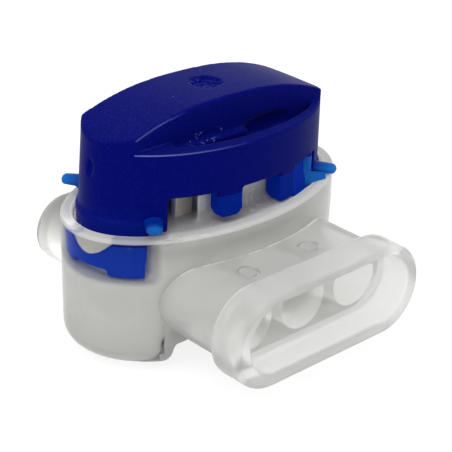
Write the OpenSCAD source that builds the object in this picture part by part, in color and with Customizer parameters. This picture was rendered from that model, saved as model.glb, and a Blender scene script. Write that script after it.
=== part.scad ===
// Three-port gel-filled cable connector, drawn with its press cap up, as supplied.
// X runs along the row of ports, -Y is the wire entry, +Z is up.
// The origin is the centre of the flat face that the cup stands on.

/* [Cup] */
// Half length of the oval rim
cup_half_l = 11.9; // [11.6:0.1:12.6]
// Half width of the oval rim
cup_half_w = 7.1; // [7:0.1:7.8]
// Height of the rim above the base
cup_h = 11; // [10.6:0.1:11.6]
// Wall thickness of the cup
cup_wall = 1; // [0.8:0.05:1.05]
// Thickness of the cup's floor
floor_t = 1; // [0.8:0.1:1.3]
// Radius of the edge round the base
base_r = 2.6; // [2:0.1:2.8]
// Foot size of the cup as a share of its rim, for mould draft
cup_taper = 0.985; // [0.98:0.005:1]
// Distance from the centre to the recesses under the cup's front and rear
recess_y = 2.4; // [2:0.1:3]
// Radius of the recesses' upper corners
recess_r = 1; // [0.5:0.1:1.4]
// Wall thickness between a recess and the cup's hollow
recess_wall = 0.6; // [0.4:0.05:0.65]

/* [Ports] */
// Distance between neighbouring ports
port_pitch = 5.2; // [5:0.1:5.4]
// Radius of a port, which takes one insulated wire
port_r = 2.1; // [1.6:0.05:2.3]
// Height of the ports' axes
port_z = 5.8; // [5.6:0.1:6]
// Half length of the block between the cup and the hood
block_half_l = 8.3; // [8:0.1:8.6]
// Half height of that block
block_half_h = 2.8; // [2.6:0.1:3]
// Diameter of the round moulding marks on the block
mark_d = 1.3; // [0.8:0.1:1.6]
// Depth of the round moulding marks
mark_depth = 0.15; // [0.05:0.05:0.3]

/* [Hood] */
// Half length of the hood round the wire entry
hood_half_l = 9.05; // [8.9:0.05:9.4]
// Half height of the hood
hood_half_h = 3.5; // [3.4:0.1:3.7]
// Distance from the cup's centre to the hood's mouth
hood_mouth_y = 13.8; // [13:0.1:14.6]
// Depth of the hood from its mouth to the face with the ports
hood_depth = 2.9; // [2.4:0.1:3.2]
// Wall thickness of the hood at its ends
hood_end_wall = 1.3; // [1:0.1:1.5]
// Wall thickness of the hood along its bottom
hood_bottom_wall = 1.15; // [0.9:0.05:1.3]
// Wall thickness of the hood along its top
hood_top_wall = 0.6; // [0.5:0.05:0.9]

/* [Rear box] */
// Half length of the closed box that the wires' ends reach
rear_half_l = 8.5; // [8.2:0.1:8.8]
// Half height of the rear box
rear_half_h = 2.65; // [2.5:0.05:2.8]
// Height of the rear box's middle
rear_z = 6; // [5.8:0.1:6.2]
// Distance from the cup's centre to the rear box's end
rear_end_y = 9.3; // [8.6:0.1:10]
// Wall thickness of the rear box
rear_wall = 0.9; // [0.8:0.1:1.1]

/* [Cap] */
// Clearance between the cap's sides and the cup's wall
cap_gap = 0.12; // [0.08:0.01:0.2]
// Clearance between the cap's end skirts and the cup's wall
skirt_gap = 0.12; // [0.1:0.01:0.3]
// Inset of the cap's top edge from its lower edge, for mould draft
cap_draft = 0.15; // [0.1:0.05:0.4]
// Height of the cap's front edge above the rim, which is also its travel
cap_travel = 5.6; // [5:0.1:5.7]
// Wall thickness of the cap
cap_wall = 0.95; // [0.8:0.05:1.1]
// Thickness of the cap's roof under the finger scoops
roof_t = 1.3; // [1:0.1:1.5]
// Half width of the ridge between the finger scoops
ridge_half_w = 3; // [2.8:0.1:3.2]
// Height of the ridge's crown above the cap's front edge
ridge_rise = 2.2; // [1.8:0.1:2.6]
// Height of the ridge's ends above the cap's front edge
ridge_end_rise = 0.5; // [0.3:0.1:0.8]
// Width of the lip in front of each finger scoop
lip_w = 1.05; // [0.9:0.05:1.2]
// Depth of the finger scoops below the lip
scoop_depth = 1.25; // [0.8:0.05:1.5]
// Half length of each finger scoop
scoop_half_l = 6.6; // [6:0.1:7]
// Thickness of the rib across each finger scoop
scoop_rib = 0.7; // [0.5:0.1:1]
// Diameter of the sunk gate mark in the crown
gate_d = 2.5; // [2:0.1:2.8]
// Depth of the sunk gate mark
gate_depth = 0.3; // [0.1:0.05:0.5]

/* [Cap skirts] */
// Outward step of the end skirts from the cap's sides
flange_step = 0.4; // [0.3:0.05:0.55]
// Height of the end skirts' top above the rim
flange_rise = 0.7; // [0.5:0.05:1]
// Depth that the end skirts reach below the rim
skirt_depth = 3.1; // [2.6:0.1:3.2]
// Length of each end skirt along the cap
skirt_l = 2.55; // [2.3:0.05:2.8]
// Height of the wire notches' tops above the rim
notch_rise = 2.25; // [1.8:0.05:2.4]
// Height of the prongs' tips above the rim
prong_rise = 0.05; // [0.05:0.05:0.3]
// Outward offset of a prong from the middle between two ports
prong_shift = 0.3; // [0.1:0.05:0.4]
// Width of a prong
prong_w = 2.6; // [2.2:0.05:2.8]
// Size of the bevels at a prong's tip
prong_bevel = 0.7; // [0.4:0.05:0.9]

/* [Pegs] */
// Radius of the pegs that hold the cap up
peg_r = 0.45; // [0.35:0.05:0.5]
// Distance that a peg's tip reaches past the rim
peg_reach = 0.33; // [0.2:0.01:0.4]
// Place of a peg round the rim, as the oval's own angle from its length
peg_place = 43.3; // [42:0.1:45]
// Length of a peg, with the part that starts at the skirt
peg_l = 2; // [1.8:0.1:2.4]
// Angle of a peg from the cap's length
peg_angle = 52; // [48:1:56]
// Clearance between a peg and the rim below it
peg_gap = 0.02; // [0.01:0.01:0.05]

/* [Contact element] */
// Sheet thickness of the contact element
contact_t = 0.5; // [0.4:0.05:0.6]
// Distance from the cap's centre to the outer face of each contact plate
contact_half_w = 2.65; // [2.4:0.05:2.8]
// Clearance between the contact element's corners and the cap's wall
contact_gap = 0.22; // [0.1:0.01:0.3]
// Height of the contact plates
contact_h = 4.4; // [4:0.1:4.6]
// Width of each wire slot
slot_w = 0.7; // [0.5:0.05:1]
// Height of each wire slot
slot_h = 3.2; // [2.8:0.1:3.4]
// Width of the gap between neighbouring forks
fork_gap = 1.3; // [1:0.1:1.6]

/* [Gel] */
// Depth of the gel's surface below the rim
gel_drop = 1.8; // [1.6:0.05:2.2]
// Clearance between the gel and the cap above it
gel_gap = 0.4; // [0.3:0.05:0.6]
// Clearance between the gel and the cup's wall
gel_skin = 0.05; // [0.02:0.01:0.1]
// Clearance between a seated wire's end and the gel behind it
wire_gap = 0.2; // [0.1:0.05:0.4]

/* [Hidden] */
$fn = 96;
cut = 0.5;
trim = 0.02;
port_count = 3;
port_xs = [for (i = [0:port_count - 1]) (i - (port_count - 1) / 2) * port_pitch];
port_edge_x = port_xs[port_count - 1] + port_r;
recess_half_l = port_edge_x;
recess_z = port_z - block_half_h;
port_face_y = hood_mouth_y - hood_depth;
wire_seat_y = (cup_half_w - cup_wall) * cup_taper
    * sqrt(1 - pow(port_edge_x / (cup_half_l - cup_wall) / cup_taper, 2));
lip_z = cup_h + cap_travel;
cap_half_w = cup_half_w - cup_wall - cap_gap;
flange_z = cup_h + flange_rise;
skirt_z = cup_h - skirt_depth;
skirt_half_l = cup_half_l - cup_wall - skirt_gap;
skirt_x = skirt_half_l - skirt_l;
skirt_taper = 0.965;
cap_half_l = skirt_half_l - flange_step;
leg_drop = 0.2;
leg_x = port_edge_x;
leg_z = cup_h - leg_drop;
prong_x = port_pitch / 2 + prong_shift;
notch_z = cup_h + notch_rise;
roof_z = lip_z - scoop_depth - roof_t;
ridge_half_l = cap_half_l - cap_draft;
ridge_drop = ridge_rise - ridge_end_rise;
ridge_r = (ridge_half_l * ridge_half_l + ridge_drop * ridge_drop) / (2 * ridge_drop);
crown_z = lip_z + ridge_rise;
hollow_half_l = ridge_half_l - cap_wall;
hollow_half_w = cap_half_w - cap_draft - cap_wall;
contact_half_l = hollow_half_l * sqrt(1 - pow(contact_half_w / hollow_half_w, 2)) - contact_gap;
contact_foot_z = roof_z - contact_h;
peg_tip_x = (cup_half_l + peg_reach) * cos(peg_place);
peg_tip_y = (cup_half_w + peg_reach) * sin(peg_place);
gel_z = cup_h - gel_drop;
dimple_r = 0.9;
dimple_depth = 0.25;
dimple_drop = 1.2;
dimple_z = lip_z - dimple_drop;

// Oval outline with half length l and half width w
module oval(l, w) {
    scale([l / w, 1]) circle(r = w);
}

// Keeps what lies between height 0 and h, with flat faces there
module flat_ends(l, h) {
    intersection() {
        children();
        translate([-2 * l, -2 * l, 0]) cube([4 * l, 4 * l, h]);
    }
}

// Oval block whose foot is k times its top
module oval_block(l, w, h, k = 1) {
    slope = w * (k - 1) / h;
    flat_ends(l, h) translate([0, 0, -trim]) scale([l / w, 1, 1])
        cylinder(h = h + 2 * trim, r1 = w * k + slope * trim, r2 = w - slope * trim);
}

// Oval bowl with its top at h, drafted sides and an edge of radius r round its foot
module oval_bowl(l, w, h, k, r) {
    foot = w * k;
    slope = (w - foot) / (h - r);
    flat_ends(l, h) translate([0, 0, -trim]) scale([l / w, 1, 1]) rotate_extrude() union() {
        polygon([[0, r], [foot, r], [w + slope * trim, h + 2 * trim], [0, h + 2 * trim]]);
        square([foot - r, r]);
        translate([foot - r, r]) intersection() {
            circle(r = r);
            translate([0, -r]) square([r, r]);
        }
    }
}

// Flat-sided outline with round ends
module stadium(half_l, half_h) {
    square([2 * (half_l - half_h), 2 * half_h], center = true);
    for (side = [-1, 1]) translate([side * (half_l - half_h), 0]) circle(r = half_h);
}

// Stands an outline upright at height z and runs it from y0 to y1
module along_y(y0, y1, z = 0) {
    translate([0, y1, z]) rotate([90, 0, 0]) linear_extrude(height = y1 - y0) children();
}

// The ports, as far as y along the wires' way in
module port_bores(y = 0) {
    for (x = port_xs) along_y(-hood_mouth_y, y, port_z) translate([x, 0]) circle(r = port_r);
}

module hood_hollow() {
    inner_h = hood_half_h - (hood_bottom_wall + hood_top_wall) / 2;
    shift = (hood_bottom_wall - hood_top_wall) / 2;
    along_y(-hood_mouth_y - cut, -port_face_y, port_z + shift)
        stadium(hood_half_l - hood_end_wall, inner_h);
}

module block_marks() {
    for (side = [-1, 1])
        translate([side * port_pitch / 2, -(port_face_y + cup_half_w) / 2, port_z + block_half_h - mark_depth])
            cylinder(h = mark_depth + cut, d = mark_d);
}

// Recesses under the cup's front and rear, level with the block's underside,
// that leave a foot at each end and a web between them
module foot_recesses(grow = 0) {
    half_l = recess_half_l + grow;
    top = recess_z + grow + cut;
    inner_y = recess_y - grow;
    for (side = [-1, 1])
        along_y(min(side * inner_y, side * (cup_half_w + cut)), max(side * inner_y, side * (cup_half_w + cut)), -cut) {
            translate([-half_l, 0]) square([2 * half_l, top - recess_r]);
            translate([recess_r - half_l, 0]) square([2 * (half_l - recess_r), top]);
            for (end = [-1, 1]) translate([end * (half_l - recess_r), top - recess_r]) circle(r = recess_r);
        }
}

module cup_hollow() {
    difference() {
        translate([0, 0, floor_t])
            oval_bowl(cup_half_l - cup_wall, cup_half_w - cup_wall, cup_h - floor_t + cut, cup_taper, base_r - cup_wall);
        foot_recesses(recess_wall);
    }
}

module housing() {
    color([0.86, 0.87, 0.86, 0.7]) difference() {
        union() {
            oval_bowl(cup_half_l, cup_half_w, cup_h, cup_taper, base_r);
            along_y(-port_face_y, 0, port_z) stadium(block_half_l, block_half_h);
            along_y(-hood_mouth_y, -port_face_y, port_z) stadium(hood_half_l, hood_half_h);
            along_y(0, rear_end_y, rear_z) stadium(rear_half_l, rear_half_h);
        }
        foot_recesses();
        cup_hollow();
        port_bores();
        hood_hollow();
        along_y(0, rear_end_y - rear_wall, rear_z) stadium(rear_half_l - rear_wall, rear_half_h - rear_wall);
        block_marks();
    }
}

// Sides of the cap, from its notches to its front edge
module cap_sides() {
    k = cap_half_w / (cap_half_w - cap_draft);
    translate([0, 0, leg_z]) oval_block(ridge_half_l, cap_half_w - cap_draft, lip_z - leg_z, k);
}

// Ridge between the finger scoops, arched along its length
module ridge() {
    intersection() {
        translate([0, 0, leg_z]) oval_block(ridge_half_l, cap_half_w - cap_draft, crown_z - leg_z);
        translate([-cap_half_l, -ridge_half_w, leg_z]) cube([2 * cap_half_l, 2 * ridge_half_w, crown_z - leg_z]);
        translate([0, 0, crown_z - ridge_r]) rotate([90, 0, 0])
            cylinder(h = 2 * ridge_half_w + 2 * cut, r = ridge_r, center = true, $fn = 240);
    }
}

// Skirts at the cap's two ends, which guide it in the cup
module end_skirts() {
    difference() {
        translate([0, 0, skirt_z])
            oval_block(skirt_half_l, cap_half_w, flange_z - skirt_z, skirt_taper);
        translate([-skirt_x, -cup_half_w, skirt_z - cut]) cube([2 * skirt_x, 2 * cup_half_w, flange_z - skirt_z + 2 * cut]);
    }
}

// Finger scoops on both sides of the ridge, clear of it and of the lip
module scoops() {
    translate([0, 0, lip_z - scoop_depth]) linear_extrude(height = ridge_rise + scoop_depth) difference() {
        oval(ridge_half_l - lip_w, cap_half_w - cap_draft - lip_w);
        square([3 * cap_half_l, 2 * ridge_half_w], center = true);
        square([scoop_rib, 2 * cap_half_w], center = true);
        for (side = [-1, 1])
            translate([side * (scoop_half_l + cap_half_l), 0]) square([2 * cap_half_l, 2 * cap_half_w], center = true);
    }
}

// Outline of one prong, from the notches' tops to its bevelled tip
module prong_outline() {
    tip = cup_h + prong_rise;
    polygon([
        [prong_x - prong_w / 2, notch_z + cut],
        [prong_x - prong_w / 2, tip + prong_bevel],
        [prong_x - prong_w / 2 + prong_bevel, tip],
        [prong_x + prong_w / 2 - prong_bevel, tip],
        [prong_x + prong_w / 2, tip + prong_bevel],
        [prong_x + prong_w / 2, notch_z + cut]
    ]);
}

// Wire notches that leave the prongs and the end legs standing
module wire_notches() {
    along_y(-cup_half_w, cup_half_w) difference() {
        translate([-leg_x, leg_z - cut]) square([2 * leg_x, notch_z - leg_z + cut]);
        prong_outline();
        mirror([1, 0]) prong_outline();
    }
}

module cap_hollow() {
    translate([0, 0, skirt_z - cut]) linear_extrude(height = roof_z - skirt_z + cut)
        oval(hollow_half_l, hollow_half_w);
}

// Ribs inside the cap that hold the contact element by its ends
module contact_ribs() {
    for (side = [-1, 1])
        translate([side * (contact_half_l + cap_gap / 2 + cap_wall / 2), 0, (notch_z + roof_z) / 2])
            cube([cap_wall, 2 * contact_half_w, roof_z - notch_z], center = true);
}

module end_dimples() {
    for (side = [-1, 1])
        translate([side * (ridge_half_l + dimple_r - dimple_depth), 0, dimple_z]) sphere(r = dimple_r);
}

module cap() {
    color([0.04, 0.05, 0.42]) {
        difference() {
            union() {
                cap_sides();
                ridge();
                end_skirts();
            }
            cap_hollow();
            scoops();
            wire_notches();
            translate([0, 0, crown_z - gate_depth]) cylinder(h = gate_depth + cut, d = gate_d);
            end_dimples();
        }
        contact_ribs();
    }
}

// Pegs on the cap's skirts that rest on the rim until the cap is pressed
module retaining_pegs() {
    color([0.05, 0.35, 0.75]) difference() {
        for (sx = [-1, 1], sy = [-1, 1]) scale([sx, sy, 1])
            translate([peg_tip_x, peg_tip_y, cup_h + peg_gap + peg_r]) rotate([0, 90, peg_angle + 180])
                cylinder(h = peg_l, r = peg_r);
        cap_sides();
        end_skirts();
        cap_hollow();
    }
}

// Outline of one contact plate, with a slot for each wire and gaps between the forks
module contact_outline() {
    difference() {
        translate([-contact_half_l, contact_foot_z]) square([2 * contact_half_l, contact_h]);
        for (x = port_xs) {
            translate([x - slot_w / 2, contact_foot_z - cut]) square([slot_w, slot_h + cut]);
            polygon([[x - slot_w, contact_foot_z - cut], [x, contact_foot_z + slot_w], [x + slot_w, contact_foot_z - cut]]);
        }
        for (i = [1:port_count - 1])
            translate([(port_xs[i - 1] + port_xs[i] - fork_gap) / 2, contact_foot_z - cut]) square([fork_gap, slot_h + cut]);
    }
}

module contact_element() {
    color([0.72, 0.7, 0.66]) {
        for (side = [-1, 1])
            along_y(side * (contact_half_w - contact_t / 2) - contact_t / 2, side * (contact_half_w - contact_t / 2) + contact_t / 2)
                contact_outline();
        translate([-contact_half_l, -contact_half_w, roof_z - contact_t])
            cube([2 * contact_half_l, 2 * contact_half_w, contact_t]);
    }
}

// Gel up to the skirts at the ends and below the contact element between them,
// with a short hollow behind each port where a wire is seated
module sealant_gel() {
    color([0.8, 0.82, 0.8, 0.5]) difference() {
        intersection() {
            translate([0, 0, floor_t])
                oval_bowl(cup_half_l - cup_wall - gel_skin, cup_half_w - cup_wall - gel_skin, cup_h - floor_t, cup_taper, base_r - cup_wall);
            union() {
                translate([-cup_half_l, -cup_half_w, 0]) cube([2 * cup_half_l, 2 * cup_half_w, skirt_z - gel_gap]);
                translate([gel_gap - skirt_x, -cup_half_w, 0]) cube([2 * (skirt_x - gel_gap), 2 * cup_half_w, gel_z]);
            }
        }
        port_bores(wire_gap - wire_seat_y);
        foot_recesses(recess_wall + gel_skin);
    }
}

housing();
cap();
retaining_pegs();
contact_element();
sealant_gel();
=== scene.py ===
import math
from contextlib import contextmanager

import bmesh
import bpy
from mathutils import Matrix, Vector, noise


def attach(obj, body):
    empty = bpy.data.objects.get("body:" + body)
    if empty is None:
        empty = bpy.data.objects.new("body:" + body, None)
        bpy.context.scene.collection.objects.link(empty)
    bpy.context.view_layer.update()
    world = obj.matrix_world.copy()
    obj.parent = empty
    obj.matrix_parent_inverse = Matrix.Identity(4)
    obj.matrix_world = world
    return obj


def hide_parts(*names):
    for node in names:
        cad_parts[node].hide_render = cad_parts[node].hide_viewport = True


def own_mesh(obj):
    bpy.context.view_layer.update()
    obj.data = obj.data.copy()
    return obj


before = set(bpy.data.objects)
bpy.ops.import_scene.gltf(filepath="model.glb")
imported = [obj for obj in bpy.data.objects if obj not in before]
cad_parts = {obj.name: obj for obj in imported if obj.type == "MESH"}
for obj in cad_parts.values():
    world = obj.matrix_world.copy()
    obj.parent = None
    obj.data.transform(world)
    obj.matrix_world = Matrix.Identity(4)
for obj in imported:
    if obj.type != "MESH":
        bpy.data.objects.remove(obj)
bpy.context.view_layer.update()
print("frame loaded")

mm = 0.001  # shapes are made in millimetres and shrunk when they are finished

# where the photograph was taken from, in the part's own axes
view = {"azimuth": -43.63, "elevation": 26.736, "roll": 1.905, "distance": 120.75,
        "target": (0.894, -1.83, 7.931), "focalPixels": 1630.87, "imagePixels": 452, "sensor": 36.0}


def newObject(name, data):
    made = bpy.data.objects.new(name, data)
    bpy.context.collection.objects.link(made)
    return made


def addCamera(size):
    turn, lift, roll = (math.radians(size[key]) for key in ("azimuth", "elevation", "roll"))
    back = Vector((math.sin(turn) * math.cos(lift), -math.cos(turn) * math.cos(lift), math.sin(lift)))
    right = Vector((math.cos(turn), math.sin(turn), 0))
    up = back.cross(right)
    tiltedRight = right * math.cos(roll) + up * math.sin(roll)
    tiltedUp = up * math.cos(roll) - right * math.sin(roll)
    stand = (Vector(size["target"]) + back * size["distance"]) * mm
    lens = bpy.data.cameras.new("photoCamera")
    lens.sensor_width = size["sensor"]
    lens.lens = size["focalPixels"] / size["imagePixels"] * size["sensor"]
    lens.clip_start = 0.005
    lens.clip_end = 10
    camera = newObject("photoCamera", lens)
    turned = Matrix((tiltedRight, tiltedUp, back)).transposed().to_4x4()
    camera.matrix_world = Matrix.Translation(stand) @ turned
    bpy.context.scene.camera = camera


addCamera(view)
print("camera placed")


# node helpers, for materials and for Geometry Nodes alike

def place(tree, kind, inputs=None, **settings):
    made = tree.nodes.new(kind)
    for key, value in settings.items():
        setattr(made, key, value)
    for key, value in (inputs or {}).items():
        if isinstance(value, bpy.types.NodeSocket):
            tree.links.new(value, made.inputs[key])
        else:
            made.inputs[key].default_value = value
    return made


def build(tree, kind, inputs=None, **settings):
    return place(tree, kind, inputs, **settings).outputs[0]


def calc(tree, operation, *values):
    return build(tree, "ShaderNodeMath", dict(enumerate(values)), operation=operation)


def times(tree, *values):
    made = values[0]
    for value in values[1:]:
        made = calc(tree, "MULTIPLY", made, value)
    return made


def plus(tree, first, second):
    return calc(tree, "ADD", first, second)


def minus(tree, first, second):
    return calc(tree, "SUBTRACT", first, second)


def axes(tree, vector):
    split = place(tree, "ShaderNodeSeparateXYZ", {0: vector})
    return split.outputs[0], split.outputs[1], split.outputs[2]


def point(tree, x=0.0, y=0.0, z=0.0):
    return build(tree, "ShaderNodeCombineXYZ", {0: x, 1: y, 2: z})


def newGroup(name, kind, given, made):
    tree = bpy.data.node_groups.new(name, kind)
    for label, value in given.items():
        socketType = "NodeSocketInt" if isinstance(value, int) else "NodeSocketFloat"
        tree.interface.new_socket(label, in_out="INPUT", socket_type=socketType).default_value = value
    for label, socketType in made.items():
        tree.interface.new_socket(label, in_out="OUTPUT", socket_type=socketType)
    return tree, tree.nodes.new("NodeGroupInput").outputs, tree.nodes.new("NodeGroupOutput").inputs


def growingTree(name, given):
    return newGroup(name, "GeometryNodeTree", given, {"Geometry": "NodeSocketGeometry"})


def endTree(tree, geometry, result, material):
    real = build(tree, "GeometryNodeRealizeInstances", {"Geometry": geometry})
    dressed = build(tree, "GeometryNodeSetMaterial", {"Geometry": real, "Material": material})
    tree.links.new(dressed, result["Geometry"])


def grow(name, tree, sizes):
    piece = newObject(name, bpy.data.meshes.new(name))
    step = piece.modifiers.new("grow", "NODES")
    step.node_group = tree
    for item in tree.interface.items_tree:  # "Half Length" takes the size that is called halfLength
        key = item.name[0].lower() + item.name[1:].replace(" ", "")
        if item.in_out == "INPUT" and key in sizes:
            step[item.identifier] = sizes[key]
    settle(piece)
    faceOutwards(piece)
    return piece


# mesh helpers

def settle(piece):
    bpy.context.view_layer.update()
    graph = bpy.context.evaluated_depsgraph_get()
    mesh = bpy.data.meshes.new_from_object(piece.evaluated_get(graph), depsgraph=graph)
    piece.modifiers.clear()
    piece.data = mesh


@contextmanager
def reshaped(mesh):
    shape = bmesh.new()
    shape.from_mesh(mesh)
    yield shape
    shape.to_mesh(mesh)
    shape.free()


def faceOutwards(piece, merge=0.0005):
    with reshaped(piece.data) as shape:
        bmesh.ops.remove_doubles(shape, verts=shape.verts, dist=merge)
        bmesh.ops.recalc_face_normals(shape, faces=shape.faces)


def loft(name, rings):
    count = len(rings[0])
    points = [spot for ring in rings for spot in ring]
    faces = [(low * count + i, low * count + (i + 1) % count, (low + 1) * count + (i + 1) % count,
              (low + 1) * count + i) for low in range(len(rings) - 1) for i in range(count)]
    faces += [tuple(range(count)), tuple(range(len(points) - count, len(points)))]
    mesh = bpy.data.meshes.new(name)
    mesh.from_pydata(points, [], faces)
    piece = newObject(name, mesh)
    faceOutwards(piece)
    return piece


def ovalRing(halfLength, halfWidth, z, sides=144):
    turns = [2 * math.pi * i / sides for i in range(sides)]
    return [(halfLength * math.cos(turn), halfWidth * math.sin(turn), z) for turn in turns]


def ovalBar(name, halfLength, halfWidth, *levels):
    return loft(name, [ovalRing(halfLength, halfWidth, z) for z in levels])


def stadiumRing(halfLength, halfHeight, y, z, steps=28):
    ring = []
    for side in (1, -1):
        for i in range(steps + 1):
            turn = math.pi * i / steps - math.pi / 2
            ring.append((side * (halfLength - halfHeight + halfHeight * math.cos(turn)), y,
                         z + side * halfHeight * math.sin(turn)))
    return ring


def stadiumBar(name, halfLength, halfHeight, y0, y1, z):
    return loft(name, [stadiumRing(halfLength, halfHeight, y, z) for y in (y0, y1)])


def box(name, low, high):
    (x0, x1), (y0, y1), zs = zip(low, high)
    return loft(name, [[(x0, y0, z), (x1, y0, z), (x1, y1, z), (x0, y1, z)] for z in zs])


def prism(name, outline, y0, y1):
    return loft(name, [[(x, y, z) for x, z in outline] for y in (y0, y1)])


def disc(name, radius, centre, depth, sides=48):
    turns = [2 * math.pi * i / sides for i in range(sides)]
    x, y, z = centre
    return loft(name, [[(x + radius * math.cos(turn), y + radius * math.sin(turn), level) for turn in turns]
                       for level in (z, z + depth)])


def combine(piece, operation, *tools):
    for tool in tools:
        step = piece.modifiers.new(tool.name, "BOOLEAN")
        step.operation, step.solver, step.object = operation, "EXACT", tool
    settle(piece)
    for tool in tools:
        bpy.data.objects.remove(tool)
    return piece


def roundEdges(piece, radius, segments, wanted, merge=0.002, sharp=0.6):
    with reshaped(piece.data) as shape:
        bmesh.ops.remove_doubles(shape, verts=shape.verts, dist=merge)
        edges = [edge for edge in shape.edges if len(edge.link_faces) == 2
                 and edge.calc_face_angle(0) > sharp and all(wanted(corner.co) for corner in edge.verts)]
        bmesh.ops.bevel(shape, geom=edges, offset=radius, segments=segments, profile=0.5, affect="EDGES",
                        clamp_overlap=False)
    print("rounded", len(edges), "edges of", piece.name)


def remesh(piece, grain, smoothing):
    before = newObject("before", piece.data.copy())
    step = piece.modifiers.new("remesh", "REMESH")
    step.mode, step.voxel_size, step.use_smooth_shade = "VOXEL", grain, True
    for _ in range(2):  # evens out the voxels' steps and goes back on the shape
        even = piece.modifiers.new("evenOut", "SMOOTH")
        even.factor, even.iterations = 0.5, 6
        back = piece.modifiers.new("backOnTheShape", "SHRINKWRAP")
        back.wrap_method, back.target = "NEAREST_SURFACEPOINT", before
    settle(piece)
    bpy.data.objects.remove(before)
    with reshaped(piece.data) as shape:
        for _ in range(smoothing):
            bmesh.ops.smooth_vert(shape, verts=shape.verts, factor=0.5, use_axis_x=True, use_axis_y=True,
                                  use_axis_z=True)


def finish(piece, material, body, slot, sharpAngle=None, *nodes, others=()):
    piece.data.materials.clear()
    piece.data.materials.append(material)
    for number, (other, where) in enumerate(others, 1):
        piece.data.materials.append(other)
        for face in piece.data.polygons:
            if face.material_index == 0 and where(face.center):
                face.material_index = number
    piece.data.transform(Matrix.Scale(mm, 4))
    piece.data.shade_smooth()
    if sharpAngle:
        piece.data.set_sharp_from_angle(angle=math.radians(sharpAngle))
        step = piece.modifiers.new("even", "WEIGHTED_NORMAL")
        step.keep_sharp = True
        settle(piece)
    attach(piece, body)
    if nodes:
        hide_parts(*nodes)
    triangles = sum(len(face.vertices) - 2 for face in piece.data.polygons)
    print(piece.name, "finished with", triangles, "triangles")
    return piece


# materials: shared effects first, each one node group

def objectSpot(tree):
    return place(tree, "ShaderNodeTexCoord").outputs["Object"]


def noiseAt(tree, where, scale, detail):
    return build(tree, "ShaderNodeTexNoise", {"Vector": where, "Scale": scale, "Detail": detail})


def ramp(tree, value, start, end, **settings):
    inputs = {"Value": value, "From Min": start, "From Max": end}
    return build(tree, "ShaderNodeMapRange", inputs, **settings)


def ovalReach(tree, x, y, oval):
    across = point(tree, calc(tree, "DIVIDE", x, oval[0] * mm), calc(tree, "DIVIDE", y, oval[1] * mm))
    return place(tree, "ShaderNodeVectorMath", {0: across}, operation="LENGTH").outputs["Value"]


def grainGroup():
    given = {"Fine Scale": 2500.0, "Broad Scale": 260.0, "Fine Share": 0.5}
    made = {"Height": "NodeSocketFloat", "Patch": "NodeSocketFloat"}
    tree, inputs, outputs = newGroup("mouldedGrain", "ShaderNodeTree", given, made)
    where = objectSpot(tree)
    fine = noiseAt(tree, where, inputs["Fine Scale"], 3.0)
    broad = noiseAt(tree, where, inputs["Broad Scale"], 4.0)
    mixed = place(tree, "ShaderNodeMix", {0: inputs["Fine Share"], 2: broad, 3: fine})
    tree.links.new(mixed.outputs[0], outputs["Height"])
    tree.links.new(broad, outputs["Patch"])
    return tree


def speckGroup():
    given = {"Scale": 900.0, "Size": 0.12, "Share": 0.55}
    tree, inputs, outputs = newGroup("specks", "ShaderNodeTree", given, {"Mask": "NodeSocketFloat"})
    cells = place(tree, "ShaderNodeTexVoronoi", {"Vector": objectSpot(tree), "Scale": inputs["Scale"]})
    dot = calc(tree, "LESS_THAN", cells.outputs["Distance"], inputs["Size"])
    chance = build(tree, "ShaderNodeSeparateColor", {0: cells.outputs["Color"]})
    kept = calc(tree, "GREATER_THAN", chance, inputs["Share"])
    tree.links.new(times(tree, dot, kept), outputs["Mask"])
    return tree


# painted highlights on sharp edges, broken up by a noise patch
def edgeHighlightGroup():
    given = {"Wear": 0.5, "Edge": 0.55, "Spread": 0.06, "Patch Scale": 700.0, "Patch From": 0.35,
             "Patch To": 0.6}
    tree, inputs, outputs = newGroup("rubbedEdges", "ShaderNodeTree", given, {"Mask": "NodeSocketFloat"})
    sharp = place(tree, "ShaderNodeNewGeometry").outputs["Pointiness"]
    edges = ramp(tree, sharp, inputs["Edge"], plus(tree, inputs["Edge"], inputs["Spread"]))
    patch = noiseAt(tree, objectSpot(tree), inputs["Patch Scale"], 3.0)
    rough = ramp(tree, patch, inputs["Patch From"], inputs["Patch To"])
    tree.links.new(times(tree, edges, rough, inputs["Wear"]), outputs["Mask"])
    return tree


grain, specks, edgeHighlights = grainGroup(), speckGroup(), edgeHighlightGroup()


def group(tree, shared, values):
    made = place(tree, "ShaderNodeGroup", node_tree=shared)
    for socket, value in zip(made.inputs, values):
        socket.default_value = value
    return made.outputs


def newMaterial(name, fixed):
    material = bpy.data.materials.new(name)
    material.use_nodes = True
    tree = material.node_tree
    shader = tree.nodes["Principled BSDF"]
    for label, value in fixed.items():
        shader.inputs[label].default_value = value
    return material, tree, shader


def spread(tree, value, low, high):
    return build(tree, "ShaderNodeMapRange", {"Value": value, "To Min": low, "To Max": high})


def blendColour(tree, amount, first, second):
    mix = place(tree, "ShaderNodeMix", {0: amount}, data_type="RGBA")
    for index, value in ((6, first), (7, second)):
        if isinstance(value, bpy.types.NodeSocket):
            tree.links.new(value, mix.inputs[index])
        else:
            mix.inputs[index].default_value = (*value, 1)
    return mix.outputs[2]


def heightRamp(tree, low, high):
    z = axes(tree, objectSpot(tree))[2]
    return ramp(tree, z, low * mm, high * mm, interpolation_type="SMOOTHSTEP")


def grained(tree, shader, look):
    texture = group(tree, grain, look["grain"])
    tree.links.new(spread(tree, texture["Patch"], *look["rough"]), shader.inputs["Roughness"])
    return texture


def dress(tree, shader, colour, height, look):
    strength, depth = look["bump"]
    bump = build(tree, "ShaderNodeBump", {"Height": height, "Strength": strength, "Distance": depth * mm})
    tree.links.new(bump, shader.inputs["Normal"])
    tree.links.new(colour, shader.inputs["Base Color"])


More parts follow.
